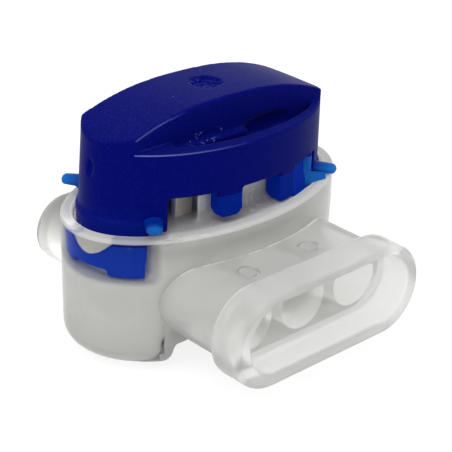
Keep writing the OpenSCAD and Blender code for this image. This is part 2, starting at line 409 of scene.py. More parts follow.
# the cup's wall is the clearest part of the moulding; the hood, block and rear box are milkier
milky = {"name": "milkyPlastic", "clear": (0.9, 0.9, 0.885), "cloudy": (0.84, 0.84, 0.825),
         "rough": (0.1, 0.2), "ior": 1.18, "transmission": 1.0, "grain": (1500.0, 180.0, 0.35),
         "bump": (0.2, 0.015), "lit": 0.0, "litColour": (1.0, 1.0, 0.97)}
cloudy = dict(milky, name="cloudyPlastic", clear=(0.92, 0.92, 0.905), cloudy=(0.87, 0.87, 0.855),
              rough=(0.24, 0.36), ior=1.22, transmission=0.78)
# a painted highlight: a bright broken line, given off as light, where the block meets the cup
dull = dict(cloudy, name="dullPlastic", clear=(0.82, 0.82, 0.805), cloudy=(0.66, 0.66, 0.645),
            rough=(0.26, 0.42), transmission=0.7, lit=0.45, seam=1.022, seamAbove=8.0, seamOval=(11.9, 7.1),
            seamGrain=700.0, seamGaps=(0.42, 0.6))
rim = dict(cloudy, name="rimPlastic", clear=(0.9, 0.9, 0.88), cloudy=(0.82, 0.82, 0.8), rough=(0.2, 0.35),
           transmission=0.6, bump=(0.4, 0.03))
# the rim's inner edge is paler: a painted highlight
edge = dict(rim, name="edgePlastic", clear=(0.99, 0.99, 0.97), cloudy=(0.95, 0.95, 0.93), transmission=0.3)
# the bores glow faintly: painted light
bore = dict(cloudy, name="borePlastic", clear=(0.96, 0.96, 0.945), cloudy=(0.93, 0.93, 0.915), lit=0.05)
# the rear box glows more towards its foot, below litBelow: painted light that lifts its shade
rearWall = dict(cloudy, name="rearPlastic", clear=(0.6, 0.6, 0.585), cloudy=(0.55, 0.55, 0.535), lit=0.4,
                litBelow=(8.8, 5.2))
boxed = dict(milky, name="boxedPlastic", clear=(0.55, 0.55, 0.535), cloudy=(0.5, 0.5, 0.49),
             rough=(0.3, 0.45), ior=1.15, transmission=0.35)
# inside the cup the gel and the skirts wet the wall, so light goes straight on there
wetted = dict(milky, name="wettedPlastic", clear=(0.95, 0.95, 0.94), cloudy=(0.92, 0.92, 0.91),
              rough=(0.05, 0.12), ior=1.02, bump=(0.1, 0.01))


# an emission where the amount says: a painted glow that stands in for light
def lightInto(tree, shader, amount, look):
    glow = blendColour(tree, amount, (0.0, 0.0, 0.0), look["litColour"])
    tree.links.new(glow, shader.inputs["Emission Color"])


def milkyPlastic(look):
    material, tree, shader = newMaterial(look["name"], {
        "Transmission Weight": look["transmission"], "IOR": look["ior"],
        "Emission Color": (*look["litColour"], 1), "Emission Strength": look["lit"]})
    texture = grained(tree, shader, look)
    base = blendColour(tree, texture["Patch"], look["clear"], look["cloudy"])
    dress(tree, shader, base, texture["Height"], look)
    # a painted highlight that glows along the line where the block meets the cup
    if "seam" in look:
        where = objectSpot(tree)
        x, y, z = axes(tree, where)
        near = ramp(tree, ovalReach(tree, x, y, look["seamOval"]), look["seam"], 1.0)
        broken = ramp(tree, noiseAt(tree, where, look["seamGrain"], 3.0), *look["seamGaps"])
        above = calc(tree, "GREATER_THAN", z, look["seamAbove"] * mm)
        lightInto(tree, shader, times(tree, near, broken, above), look)
    if "litBelow" in look:
        lightInto(tree, shader, heightRamp(tree, *look["litBelow"]), look)
    return material


# gate, lip, crest and fleck sizes are places in mm; the shares with Upwards go by how far a face looks up
blue = {"deep": (0.0006, 0.0026, 0.132), "thin": (0.001, 0.008, 0.18), "thinBelow": 10.2, "deepAbove": 13.2,
        "rough": (0.36, 0.5), "specular": 0.012, "sheen": 0.05, "sheenRough": 0.35,
        "grain": (7000.0, 320.0, 0.75), "bump": (0.6, 0.03), "rub": (0.6, 0.66, 0.1),
        "dots": (600.0, 0.05, 0.7), "grit": (0.012, 0.016, 0.2), "gritGrain": 7500.0,
        "gritGaps": (0.45, 0.75), "gritUpwards": 0.6, "gritLeast": 0.2,
        "worn": (0.02, 0.035, 0.25), "wornUpwards": 0.15, "speck": (0.06, 0.09, 0.35),
        "speckUpwards": 0.6, "speckShare": 0.6, "gate": (0.0, 0.0, 18.6), "gateRadius": 1.3,
        "gateDepth": 0.12, "gateGrain": 1900.0, "gateFrom": 0.64, "tornGrain": 900.0,
        "chip": (0.1, 0.14, 0.42), "chipShare": 0.5, "fleckAlong": (-4.2, -0.9),
        "fleckHeight": (16.05, 16.95), "fleckAway": (2.8, 3.8), "fleckGrain": 2600.0, "fleckFrom": 0.62,
        "line": (0.16, 0.19, 0.46), "lipZ": 16.53, "lipWide": 0.055, "lipFrom": -8.2, "lipTo": -0.5,
        "lipOval": (10.1244, 5.72), "lipAway": 2.9, "slope": 0.0271, "crest": 2.97, "crestWide": 0.09,
        "crestFrom": -4.2, "crestTo": -6.5, "crestAbove": 16.78, "crestUpwards": (0.25, 0.9),
        "crestShare": 0.3}


def between(tree, value, low, high):
    return times(tree, calc(tree, "GREATER_THAN", value, low), calc(tree, "LESS_THAN", value, high))


def lineAt(tree, value, middle, wide):
    return ramp(tree, calc(tree, "ABSOLUTE", minus(tree, value, middle * mm)), wide * mm, 0.0)


def bluePlastic(look):
    material, tree, shader = newMaterial("bluePlastic", {
        "Specular IOR Level": look["specular"], "Sheen Weight": look["sheen"],
        "Sheen Roughness": look["sheenRough"]})
    texture = grained(tree, shader, look)
    # painted light: the blue gets lighter low down, for light shining through the plastic there
    deepShare = heightRamp(tree, look["thinBelow"], look["deepAbove"])
    base = blendColour(tree, deepShare, look["thin"], look["deep"])
    where = objectSpot(tree)
    x, y, z = axes(tree, where)
    upwards = axes(tree, place(tree, "ShaderNodeTexCoord").outputs["Normal"])[2]
    # a lighter speckle, strongest on faces that look up: painted sheen where light falls from above
    grit = ramp(tree, noiseAt(tree, where, look["gritGrain"], 1.0), *look["gritGaps"])
    litFromAbove = calc(tree, "MAXIMUM", times(tree, upwards, look["gritUpwards"]), look["gritLeast"])
    base = blendColour(tree, times(tree, grit, litFromAbove), base, look["grit"])
    # a painted highlight on the sharp edges of faces that look up
    worn = group(tree, edgeHighlights, look["rub"])["Mask"]
    worn = times(tree, worn, calc(tree, "GREATER_THAN", upwards, look["wornUpwards"]))
    base = blendColour(tree, worn, base, look["worn"])
    dots = group(tree, specks, look["dots"])["Mask"]
    dots = times(tree, dots, calc(tree, "GREATER_THAN", upwards, look["speckUpwards"]), look["speckShare"])
    base = blendColour(tree, dots, base, look["speck"])
    apart = place(tree, "ShaderNodeVectorMath", {0: where, 1: tuple(part * mm for part in look["gate"])},
                  operation="DISTANCE").outputs["Value"]
    inGate = calc(tree, "LESS_THAN", apart, look["gateRadius"] * mm)
    chips = calc(tree, "GREATER_THAN", noiseAt(tree, where, look["gateGrain"], 4.0), look["gateFrom"])
    base = blendColour(tree, times(tree, chips, inGate, look["chipShare"]), base, look["chip"])
    front = times(tree, x, calc(tree, "SIGN", times(tree, y, -1.0)))  # the same on both sides
    away = calc(tree, "ABSOLUTE", y)
    # paler flecks on the scoop's wall: specks that also paint the light streak reflected there
    inScoop = [between(tree, value, low * mm, high * mm) for value, (low, high) in (
        (front, look["fleckAlong"]), (z, look["fleckHeight"]), (away, look["fleckAway"]))]
    flecks = calc(tree, "GREATER_THAN", noiseAt(tree, where, look["fleckGrain"], 3.0), look["fleckFrom"])
    base = blendColour(tree, times(tree, flecks, *inScoop, look["chipShare"]), base, look["chip"])
    level = plus(tree, z, times(tree, x, look["slope"]))  # along the cap, which sits a little askew
    # a painted highlight line along the lip's outer edge
    fade = ramp(tree, front, look["lipTo"] * mm, look["lipFrom"] * mm)
    outer = calc(tree, "GREATER_THAN", ovalReach(tree, x, y, look["lipOval"]), 1.0)
    rounded = calc(tree, "GREATER_THAN", away, look["lipAway"] * mm)
    line = times(tree, lineAt(tree, level, look["lipZ"], look["lipWide"]), fade, outer, rounded)
    base = blendColour(tree, line, base, look["line"])
    # a painted highlight line along the crest
    fade = ramp(tree, front, look["crestFrom"] * mm, look["crestTo"] * mm)
    high = calc(tree, "GREATER_THAN", level, look["crestAbove"] * mm)
    crest = times(tree, lineAt(tree, away, look["crest"], look["crestWide"]), fade, high,
                  between(tree, upwards, *look["crestUpwards"]), look["crestShare"])
    base = blendColour(tree, crest, base, look["line"])
    torn = noiseAt(tree, where, look["tornGrain"], 5.0)
    gateHeight = times(tree, torn, inGate, look["gateDepth"] / look["bump"][1])
    dress(tree, shader, base, plus(tree, texture["Height"], gateHeight), look)
    return material


# edge is the colour of a painted highlight on sharp edges
thinBlue = {"name": "thinBluePlastic", "base": (0.002, 0.035, 0.42), "pale": (0.003, 0.05, 0.5),
            "edge": (0.12, 0.22, 0.6), "rough": (0.3, 0.42), "ior": 1.12, "transmission": 0.1,
            "specular": 0.05, "glow": 0.7, "glowReach": (0.1, 0.4, 1.2), "lit": (0.0, 0.0, 0.0),
            "litBy": 0.0, "grain": (2200.0, 500.0, 0.6), "bump": (0.25, 0.02), "rub": (0.8, 0.64, 0.08)}
# on the prongs and the panel, lit is an emission: a painted glow for light that comes through the thin
# plastic
prongBlue = dict(thinBlue, name="prongBluePlastic", base=(0.0008, 0.007, 0.1), pale=(0.001, 0.012, 0.14),
                 edge=(0.03, 0.08, 0.3), lit=(0.0002, 0.005, 0.1), litBy=1.0)
webBlue = dict(thinBlue, name="webBluePlastic", base=(0.008, 0.09, 0.38), pale=(0.015, 0.14, 0.48),
               edge=(0.02, 0.17, 0.5))
panelBlue = dict(thinBlue, name="panelBluePlastic", base=(0.0008, 0.009, 0.14), pale=(0.001, 0.014, 0.18),
                 edge=(0.03, 0.1, 0.35), lit=(0.0002, 0.009, 0.14), litBy=1.0)
# a paler base and a painted glow stand for the light that comes through the thin end walls
innerBlue = dict(thinBlue, name="innerBluePlastic", base=(0.003, 0.04, 0.5), pale=(0.004, 0.06, 0.6),
                 lit=(0.0008, 0.016, 0.2), litBy=1.0)


def thinBluePlastic(look):
    material, tree, shader = newMaterial(look["name"], {
        "Emission Color": (*look["lit"], 1), "Emission Strength": look["litBy"], "IOR": look["ior"],
        "Transmission Weight": look["transmission"], "Specular IOR Level": look["specular"],
        "Subsurface Weight": look["glow"], "Subsurface Radius": look["glowReach"], "Subsurface Scale": mm})
    texture = grained(tree, shader, look)
    base = blendColour(tree, texture["Patch"], look["base"], look["pale"])
    # a painted highlight on sharp edges, in the edge colour
    worn = group(tree, edgeHighlights, look["rub"])["Mask"]
    dress(tree, shader, blendColour(tree, worn, base, look["edge"]), texture["Height"], look)
    return material


# pegs are darkest at the root, and the pair that catches the light is paler at the tip
lightBlue = {"root": (0.0012, 0.022, 0.25), "tip": (0.003, 0.075, 0.36), "side": (0.004, 0.14, 0.52),
             "sideFrom": 11.5, "sideTo": 13.8, "pale": (0.01, 0.15, 0.5), "paleShare": 0.8,
             "rough": (0.3, 0.42), "specular": 0.05, "rootAt": 0.965, "tipAt": 1.045, "oval": (11.9, 7.1),
             "grain": (2600.0, 900.0, 0.5), "bump": (0.3, 0.02)}


def lightBluePlastic(look):
    material, tree, shader = newMaterial("lightBluePlastic", {"Specular IOR Level": look["specular"]})
    texture = grained(tree, shader, look)
    x, y, _ = axes(tree, objectSpot(tree))
    along = ramp(tree, ovalReach(tree, x, y, look["oval"]), look["rootAt"], look["tipAt"])
    aside = calc(tree, "ABSOLUTE", minus(tree, x, y))
    aside = ramp(tree, aside, look["sideFrom"] * mm, look["sideTo"] * mm)
    base = blendColour(tree, along, look["root"], look["tip"])
    base = blendColour(tree, aside, base, look["side"])
    soft = times(tree, texture["Patch"], along, look["paleShare"])
    dress(tree, shader, blendColour(tree, soft, base, look["pale"]), texture["Height"], look)
    return material


tin = {"bright": (0.88, 0.84, 0.77), "dull": (0.6, 0.55, 0.47), "rough": (0.3, 0.5), "metallic": 0.5,
       "grain": (3000.0, 420.0, 0.4), "bump": (0.25, 0.02)}


def tinnedMetal(look):
    material, tree, shader = newMaterial("tinnedMetal", {"Metallic": look["metallic"]})
    texture = grained(tree, shader, look)
    base = blendColour(tree, texture["Patch"], look["bright"], look["dull"])
    dress(tree, shader, base, texture["Height"], look)
    return material


# the gel is painted darker where it stands up in the shade under the cap, whose oval is capOval, and below
# the rim towards the cup's left: painted shade
jelly = {"light": (0.7, 0.7, 0.685), "dark": (0.5, 0.5, 0.485), "sunk": (0.5, 0.5, 0.49),
         "sunkBelow": (5.0, 0.8), "raised": (0.4, 0.395, 0.39), "raisedAbove": (8.0, 11.0),
         "tall": (0.62, 0.62, 0.63), "tallAbove": (11.1, 12.4), "capOval": (10.38, 5.86), "shadeFrom": 0.99,
         "shadeTo": 0.93, "sideFrom": 6.5, "sideTo": 0.62, "lightAbove": (10.5, 9.5),
         "streak": (0.8, 0.8, 0.78), "streakGrain": 420.0, "streakWide": 0.016, "streakShare": 0.36,
         "rough": (0.2, 0.35), "specular": 0.2, "grain": (700.0, 150.0, 0.3), "bump": (0.4, 0.05)}


def sealingJelly(look):
    material, tree, shader = newMaterial("sealingGel", {"Specular IOR Level": look["specular"]})
    texture = grained(tree, shader, look)
    where = objectSpot(tree)
    x, y, _ = axes(tree, where)
    under = ramp(tree, ovalReach(tree, x, y, look["capOval"]), look["shadeFrom"], look["shadeTo"])
    beside = ramp(tree, x, look["sideFrom"] * mm, look["sideTo"] * mm)
    beside = times(tree, beside, heightRamp(tree, *look["lightAbove"]))
    raised = times(tree, heightRamp(tree, *look["raisedAbove"]), calc(tree, "MAXIMUM", under, beside))
    base = blendColour(tree, texture["Patch"], look["light"], look["dark"])
    base = blendColour(tree, heightRamp(tree, *look["sunkBelow"]), base, look["sunk"])
    base = blendColour(tree, raised, base, look["raised"])
    # the gel is painted lighter towards the mound's top: painted light against the shade below
    base = blendColour(tree, heightRamp(tree, *look["tallAbove"]), base, look["tall"])
    # thin light lines in the shade under the cap: painted glints on the gel
    middle = calc(tree, "ABSOLUTE", minus(tree, noiseAt(tree, where, look["streakGrain"], 2.0), 0.5))
    gelGlints = times(tree, ramp(tree, middle, look["streakWide"], 0.0), under, look["streakShare"])
    dress(tree, shader, blendColour(tree, gelGlints, base, look["streak"]), texture["Height"], look)
    return material


milkyFinish, cloudyFinish, dullFinish, rimFinish = map(milkyPlastic, (milky, cloudy, dull, rim))
edgeFinish, boreFinish, rearFinish = map(milkyPlastic, (edge, bore, rearWall))
boxedFinish, wettedFinish = map(milkyPlastic, (boxed, wetted))
thinBlueFinish, innerBlueFinish, prongBlueFinish, webBlueFinish, panelBlueFinish = map(
    thinBluePlastic, (thinBlue, innerBlue, prongBlue, webBlue, panelBlue))
blueFinish, lightBlueFinish = bluePlastic(blue), lightBluePlastic(lightBlue)
tinFinish, jellyFinish = tinnedMetal(tin), sealingJelly(jelly)
print("materials made")


# the cup, its inside and the gel are all one kind of oval bowl

def bowlTree(material):
    given = {"Half Length": 11.9, "Half Width": 7.1, "Height": 11.0, "Floor": 0.0, "Foot Share": 0.985,
             "Foot Radius": 2.6, "Sides": 144, "Corner Steps": 10}
    tree, size, result = growingTree("ovalBowl", given)
    foot = times(tree, size["Half Width"], size["Foot Share"])
    outline = place(tree, "GeometryNodeCurvePrimitiveQuadrilateral", mode="POINTS")
    corners = (point(tree, 0.0, size["Floor"]), point(tree, foot, size["Floor"]),
               point(tree, size["Half Width"], size["Height"]), point(tree, 0.0, size["Height"]))
    for number, corner in enumerate(corners, 1):
        tree.links.new(corner, outline.inputs[f"Point {number}"])
    index = build(tree, "GeometryNodeInputIndex")
    atFoot = build(tree, "FunctionNodeCompare", {2: index, 3: 1}, data_type="INT", operation="EQUAL")
    radius = times(tree, atFoot, size["Foot Radius"])
    fillet = place(tree, "GeometryNodeFilletCurve", {"Curve": outline.outputs[0], "Radius": radius},
                   mode="POLY")
    tree.links.new(size["Corner Steps"], fillet.inputs["Count"])
    profile = build(tree, "GeometryNodeCurveToMesh", {"Curve": fillet.outputs[0]})
    count = build(tree, "GeometryNodeAttributeDomainSize", {0: profile}, component="MESH")
    around = plus(tree, size["Sides"], 1)
    sheet = build(tree, "GeometryNodeMeshGrid", {"Size X": 1.0, "Size Y": 1.0, "Vertices X": around,
                                                 "Vertices Y": count})
    here = build(tree, "GeometryNodeInputPosition")
    u, v, _ = axes(tree, here)
    turn = times(tree, plus(tree, u, 0.5), 2 * math.pi)
    step = times(tree, plus(tree, v, 0.5), minus(tree, count, 1))
    spot = place(tree, "GeometryNodeSampleIndex", {"Geometry": profile, "Index": calc(tree, "ROUND", step)},
                 data_type="FLOAT_VECTOR", domain="POINT")
    tree.links.new(here, spot.inputs["Value"])
    reach, height, _ = axes(tree, spot.outputs["Value"])
    longer = calc(tree, "DIVIDE", size["Half Length"], size["Half Width"])
    x = times(tree, reach, calc(tree, "COSINE", turn), longer)
    y = times(tree, reach, calc(tree, "SINE", turn))
    bowl = place(tree, "GeometryNodeSetPosition", {"Geometry": sheet, "Position": point(tree, x, y, height)})
    closed = place(tree, "GeometryNodeMergeByDistance", {"Geometry": bowl.outputs[0], "Distance": 0.001})
    endTree(tree, closed.outputs[0], result, material)
    return tree


ovalBowl = bowlTree(milkyFinish)

ports = {"count": 3, "pitch": 5.2, "radius": 2.1, "height": 5.8}


def portTree(material):
    given = {"Count": 3, "Pitch": 5.2, "Radius": 2.1, "Height": 5.8, "Start": -14.0, "End": 0.0, "Sides": 56}
    tree, size, result = growingTree("portRow", given)
    depth = minus(tree, size["End"], size["Start"])
    bore = build(tree, "GeometryNodeMeshCylinder", {"Vertices": size["Sides"], "Radius": size["Radius"],
                                                    "Depth": depth})
    laid = build(tree, "GeometryNodeTransform", {"Geometry": bore, "Rotation": (math.pi / 2, 0, 0)})
    first = times(tree, minus(tree, size["Count"], 1), times(tree, size["Pitch"], -0.5))
    middle = times(tree, plus(tree, size["Start"], size["End"]), 0.5)
    row = place(tree, "GeometryNodeMeshLine", {"Count": size["Count"],
                                               "Start Location": point(tree, first, middle, size["Height"]),
                                               "Offset": point(tree, size["Pitch"])})
    bores = place(tree, "GeometryNodeInstanceOnPoints", {"Points": row.outputs[0], "Instance": laid})
    endTree(tree, bores.outputs[0], result, material)
    return tree


portRow = portTree(milkyFinish)


def portBores(name, start, end):
    return grow(name, portRow, dict(ports, start=start, end=end))


# housing: cup, block, hood and closed rear box in one moulding
cup = {"halfLength": 11.9, "halfWidth": 7.1, "height": 11.0, "wall": 1.0, "floor": 1.0, "footShare": 0.985,
       "footRadius": 2.6, "rimRadius": 0.27, "rimBand": 0.7, "recessHalfLength": 7.3, "recessTop": 3.0,
       "recessDepth": 2.4, "recessRadius": 1.0, "recessWall": 0.6, "recessBand": 0.7}
block = {"halfLength": 8.3, "halfHeight": 2.8, "markXs": (-3.6, 2.4), "markY": -8.9, "markRadius": 0.85,
         "markInside": 0.6, "markDepth": 0.3}
hood = {"halfLength": 9.05, "halfHeight": 3.5, "mouth": -13.8, "back": -10.9, "endWall": 1.3,
        "bottomWall": 1.15, "topWall": 0.6, "outerRadius": 0.4, "innerRadius": 0.2, "backRadius": 0.45}
rear = {"halfLength": 8.5, "halfHeight": 2.65, "height": 6.0, "end": 9.3, "wall": 0.9, "edgeRadius": 0.6}


def footRecess(name, side, extra=0.0):
    reach, top = cup["recessHalfLength"] + extra, cup["recessTop"] + extra
    inner, outer = side * (cup["recessDepth"] - extra), side * (cup["halfWidth"] + 1)
    radius = cup["recessRadius"]
    outline = [(-reach, -1), (reach, -1)]
    for start, x in ((0, reach - radius), (90, radius - reach)):
        for i in range(9):
            turn = math.radians(start + 90 * i / 8)
            outline.append((x + radius * math.cos(turn), top - radius + radius * math.sin(turn)))
    return prism(name, outline, *sorted((inner, outer)))


def innerBowl(name, skin=0.0, height=None):
    halfLength, halfWidth = (cup[key] - cup["wall"] - skin for key in ("halfLength", "halfWidth"))
    return grow(name, ovalBowl, dict(cup, halfLength=halfLength, halfWidth=halfWidth,
                                     floor=cup["floor"] + skin, height=height or cup["height"] + 0.5,
                                     footRadius=cup["footRadius"] - cup["wall"]))


def makeHousing():
    piece = grow("housing_moulding", ovalBowl, dict(cup, floor=0.0))
    z, recessWall, wall = ports["height"], cup["recessWall"], rear["wall"]
    mouth, back = hood["mouth"], hood["back"]
    combine(piece, "UNION", stadiumBar("block", block["halfLength"], block["halfHeight"], back - 0.5, 0, z),
            stadiumBar("rearBox", rear["halfLength"], rear["halfHeight"], 0, rear["end"], rear["height"]))
    combine(piece, "UNION", stadiumBar("hoodOuter", hood["halfLength"], hood["halfHeight"], mouth, back, z))
    hollow = combine(innerBowl("cupInside"), "DIFFERENCE", footRecess("frontWeb", -1, recessWall),
                     footRecess("rearWeb", 1, recessWall))
    innerHeight = hood["halfHeight"] - (hood["bottomWall"] + hood["topWall"]) / 2
    innerZ = z + (hood["bottomWall"] - hood["topWall"]) / 2
    combine(piece, "DIFFERENCE", footRecess("frontRecess", -1), footRecess("rearRecess", 1), hollow,
            portBores("portBores", mouth - 1, 0.0),
            stadiumBar("hoodInside", hood["halfLength"] - hood["endWall"], innerHeight, mouth - 1, back,
                       innerZ),
            stadiumBar("rearInside", rear["halfLength"] - wall, rear["halfHeight"] - wall, 0,
                       rear["end"] - wall, rear["height"]), *blockMarks())
    roundEdges(piece, cup["rimRadius"], 4, lambda spot: spot.z > cup["height"] - 0.01)
    for radius, segments, level, outside in (
            (hood["outerRadius"], 4, mouth, True), (hood["innerRadius"], 3, mouth, False),
            (hood["backRadius"], 4, back, True)):
        roundEdges(piece, radius, segments,
                   lambda spot: abs(spot.y - level) < 0.01 and outsideHood(spot) == outside)
    roundEdges(piece, rear["edgeRadius"], 5, lambda spot: spot.y > rear["end"] - 0.01)
    return piece


def blockMarks():
    top, y, tools = ports["height"] + block["halfHeight"] - block["markDepth"], block["markY"], []
    for x in block["markXs"]:
        ring = disc("mark", block["markRadius"], (x, y, top), 1)
        tools.append(combine(ring, "DIFFERENCE", disc("inMark", block["markInside"], (x, y, top - 1), 3)))
    return tools


# which face of the moulding gets which finish, by the middle of the face

def outsideHood(spot):
    beyond = max(0.0, abs(spot.x) - (hood["halfLength"] - hood["halfHeight"]))
    return math.hypot(beyond, spot.z - ports["height"]) > hood["halfHeight"] - 0.05


def ovalShare(spot, halfLength, halfWidth):
    return math.hypot(spot.x / halfLength, spot.y / halfWidth)


def outsideCup(spot, grown=0.03):
    return ovalShare(spot, cup["halfLength"] + grown, cup["halfWidth"] + grown) > 1


def insideCup(spot):
    return cup["floor"] - 0.1 < spot.z < cup["height"] - cup["rimRadius"] and not outsideCup(
        spot, 0.04 - cup["wall"])


def rimTop(spot):
    inBand = insideCup(spot) and spot.z > cup["height"] - cup["rimBand"]
    return inBand or spot.z > cup["height"] - cup["rimRadius"]


def rimEdge(spot):
    return spot.z > cup["height"] - cup["rimRadius"] and not outsideCup(spot, 0.3 - cup["wall"])


def inBore(spot):
    return any(math.hypot(spot.x - (number - 1) * ports["pitch"], spot.z - ports["height"])
               < ports["radius"] + 0.05 for number in range(ports["count"]))


def boreWall(spot):
    return outsideCup(spot, -cup["wall"]) and not outsideHood(spot) and inBore(spot)


def footPart(spot):
    return not outsideCup(spot) and spot.z < cup["recessTop"] + cup["recessBand"] and (
        abs(spot.x) < cup["recessHalfLength"] + cup["recessBand"])


def rearEnd(spot):
    return spot.y > rear["end"] - rear["wall"] - 0.3


def rearSide(spot):
    return outsideCup(spot) and spot.y > 0


def dullPart(spot):
    return outsideCup(spot) and spot.y > hood["back"] - 0.02 and not (inBore(spot) and spot.y < 0)


housing = makeHousing()
finish(housing, milkyFinish, "cup", "milky_plastic", 32, "housing",
       others=((edgeFinish, rimEdge), (rimFinish, rimTop), (boxedFinish, footPart),
               (wettedFinish, insideCup), (boxedFinish, rearEnd), (rearFinish, rearSide),
               (boreFinish, boreWall), (dullFinish, dullPart), (cloudyFinish, outsideCup)))
print("housing made")


# the cap sits on its pegs with its left end a little higher
perch = {"tilt": 1.55, "height": 11.5}


def perched(piece):
    centre = Matrix.Translation((0, 0, perch["height"]))
    piece.data.transform(centre @ Matrix.Rotation(math.radians(perch["tilt"]), 4, "Y") @ centre.inverted())
    return piece


# gel: fills the cup up to the skirts and rises in a low mound under the cap
gel = {"skin": -0.4, "endTop": 7.3, "middleTop": 10.7, "middleHalf": 7.8, "rightHalf": 3.2,
       "inSkirts": (9.1, 4.7), "grain": 0.2, "moundFrom": 9.6, "moundTop": 12.95, "level": (7.2, 4.0, 10.75),
       "mound": ((-4.15, -4.05), (4.15, -4.05), (2.7, -2.75), (2.7, 2.75), (4.15, 4.05), (-4.15, 4.05),
                 (-2.7, 2.75), (-2.7, -2.75)),
       "inVent": (10.42, 5.8), "ventHalf": 2.4, "ventLow": 8.5, "ventTop": 10.4, "keep": 0.65}


def makeGel():
    piece = innerBowl("gel_filling", gel["skin"], gel["middleTop"])
    half, right, recessSkin = gel["middleHalf"], gel["rightHalf"], cup["recessWall"] / 2
    ends = box("ends", (-14, -9, gel["endTop"]), (half, 9, 12))
    combine(ends, "UNION", box("right", (0, -right, gel["endTop"]), (14, right, 12)))
    combine(ends, "DIFFERENCE", box("middle", (-half, -9.5, 5), (half, 9.5, 13)),
            ovalBar("inSkirts", *gel["inSkirts"], 5, 13))
    combine(piece, "DIFFERENCE", footRecess("a", -1, recessSkin), footRecess("b", 1, recessSkin), ends)
    low, (x, y, z) = gel["moundFrom"], gel["level"]
    mound = loft("mound", [[(*spot, level) for spot in gel["mound"]] for level in (low, gel["moundTop"])])
    combine(piece, "UNION", mound, box("level", (-x, -y, low), (x, y, z)))
    remesh(piece, gel["grain"], 5)
    return piece


def makeVentGel():
    piece = ovalBar("vent_gel", *gel["inVent"], gel["ventLow"], gel["ventTop"])
    combine(piece, "INTERSECT", box("ventPart", (-12, -gel["ventHalf"], 5), (-8.6, gel["ventHalf"], 13)))
    remesh(piece, gel["grain"] / 2, 2)
    return perched(piece)


jellyFill = makeGel()
finish(jellyFill, jellyFinish, "cup", "gel", None, "sealant_gel")
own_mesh(jellyFill)
finish(makeVentGel(), jellyFinish, "press_cap", "gel")  # the gel in the vent goes down with the cap
print("gel made")


# smears of gel that squeezed out over the rim beside the front peg
smear = {"spots": ((-7.5, -5.2, 10.98, 0.3), (-7.75, -5.05, 10.7, 0.22), (-7.05, -5.6, 10.98, 0.18)),
         "rough": 0.5, "grain": 1.1, "apart": 5.0, "stretch": (1.3, 0.8, 0.6)}


def makeSmears():
    mesh = bpy.data.meshes.new("gel_smears")
    with reshaped(mesh) as shape:
        for number, (*middle, radius) in enumerate(smear["spots"]):
            for corner in bmesh.ops.create_icosphere(shape, subdivisions=4, radius=radius)["verts"]:
                shift = Vector((number * smear["apart"], 0, 0))
                corner.co *= 1 + smear["rough"] * noise.noise(corner.co * smear["grain"] / radius + shift)
                stretched = (part * share for part, share in zip(corner.co, smear["stretch"]))
                corner.co = Vector(stretched) + Vector(middle)
    return newObject("gel_smears", mesh)


finish(makeSmears(), rimFinish, "cup", "gel")
print("smears made")


# cap: oval sides, arched ridge, end skirts, finger scoops and wire notches
cap = {"topHalfLength": 10.38, "topHalfWidth": 5.86, "footShare": 1.0165, "legZ": 10.8, "lipZ": 16.6,
       "crownZ": 19.0, "ridgeEndZ": 16.87, "archPower": 2.5, "archSteps": 64, "lean": 0.015,
       "ridgeHalfWidth": 3.0, "wall": 0.95, "roofZ": 14.05, "skirtHalfLength": 10.8, "skirtHalfWidth": 5.98,
       "skirtShare": 0.965, "skirtZ": 7.26, "rightSkirtZ": 7.95, "flangeZ": 11.55, "skirtX": 8.23,
       "skirtStep": 0.5, "skirtMiddle": 1.5, "thinBelow": 10.0,
       "vent": ((2.25, 10.3), (1.95, 9.95), (1.45, 9.4), (0.92, 8.97), (0.45, 8.76), (0.12, 8.7)),
       "scoopHalfLength": 9.55, "scoopHalfWidth": 4.8, "scoopX": 0.6,
       "scoopSteps": ((-5.8, 1.15, 3.5, 1.15), (-5.8, 1.15, 2.98, 0.3), (1.1, 5.9, 2.98, 1.35),
                      (5.85, 9.0, 2.98, 0.85)),
       "scoopHole": (3.3, -2.95, 16.05), "scoopHoleHalf": (2.3, 0.38, 0.75), "gateRadius": 1.15,
       "gateDepth": 0.24, "gateTear": 0.26, "gateGrain": 2.3, "gateSoft": 0.15, "dimpleZ": 15.0,
       "dimpleY": -0.15, "dimpleShare": 1.012, "dimpleHalf": (0.36, 0.32, 0.75),
       "panelOvals": ((10.74, 5.97), (10.1, 5.52)), "panelInner": (9.5, 4.95), "panelZ": (10.7, 13.4),
       "panelX": (4.1, 7.5), "rib": (6.3, 4.5), "ribRadius": 0.36, "ribZ": (10.7, 13.35),
       "notchLeft": -7.0, "notchRight": 7.3, "notchZ": 13.25, "grain": 0.12, "smoothing": 3}
# each prong: its two sides in front, its tip, the sizes of its bevels and how far it reaches inwards
prongs = ({"left": -3.45, "right": -1.36, "tip": 11.2, "bevel": 0.4, "inwards": 1.2},
          {"left": 2.38, "right": 4.2, "tip": 10.9, "bevel": 0.3, "inwards": 1.6})


def sideBox(name, side, xs, ys, zs):  # the rear is the front turned by half a turn
    xs, ys = sorted(-side * x for x in xs), sorted(side * y for y in ys)
    return box(name, (xs[0], ys[0], zs[0]), (xs[1], ys[1], zs[1]))


